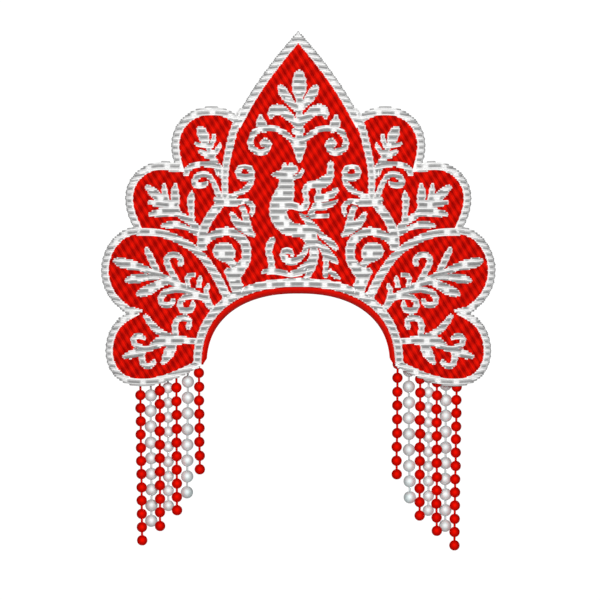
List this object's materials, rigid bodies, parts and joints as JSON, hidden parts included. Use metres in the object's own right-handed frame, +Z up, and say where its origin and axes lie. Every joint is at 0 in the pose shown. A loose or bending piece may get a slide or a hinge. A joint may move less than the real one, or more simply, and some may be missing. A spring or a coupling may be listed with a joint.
{
  "type": "kokoshnik headdress",
  "caption": "Stiff bent crest with a pointed tip, scalloped sides and a padded border, an arched head band below, and strings of beads hanging at both temples.",
  "frame": {"origin": "top of the head's hollow on the underside of the head band, on the mirror line and in the middle of the panel's thickness", "axes": "+Z up towards the crest's tip, -Y out of the embroidered front, +X to the right as seen from the front"},
  "size_m": [0.3176, 0.0387, 0.4167],
  "materials": {
    "red_cloth": "stiffened cloth filled with red thread",
    "white_thread": "padded satin stitch in white and silver-grey thread",
    "red_satin": "padded satin cloth",
    "red_bead": "opaque glossy bead on red thread",
    "pearl_bead": "pearly bead on grey thread"
  },
  "bodies": {
    "root": {"crest_panel": "red_cloth", "border_roll": "white_thread", "head_band": "red_satin", "centre_rib_left": "white_thread", "centre_rib_right": "white_thread", "petal_rib_left": "white_thread", "petal_rib_right": "white_thread", "bead_string_left_1": "red_bead", "bead_string_left_2": "pearl_bead", "bead_string_left_3": "red_bead", "bead_string_left_4": "pearl_bead", "bead_string_left_5": "red_bead", "bead_string_left_6": "pearl_bead", "bead_string_left_7": "red_bead", "bead_string_right_1": "red_bead", "bead_string_right_2": "pearl_bead", "bead_string_right_3": "red_bead", "bead_string_right_4": "pearl_bead", "bead_string_right_5": "red_bead", "bead_string_right_6": "pearl_bead", "bead_string_right_7": "red_bead"}
  },
  "joints": []
}
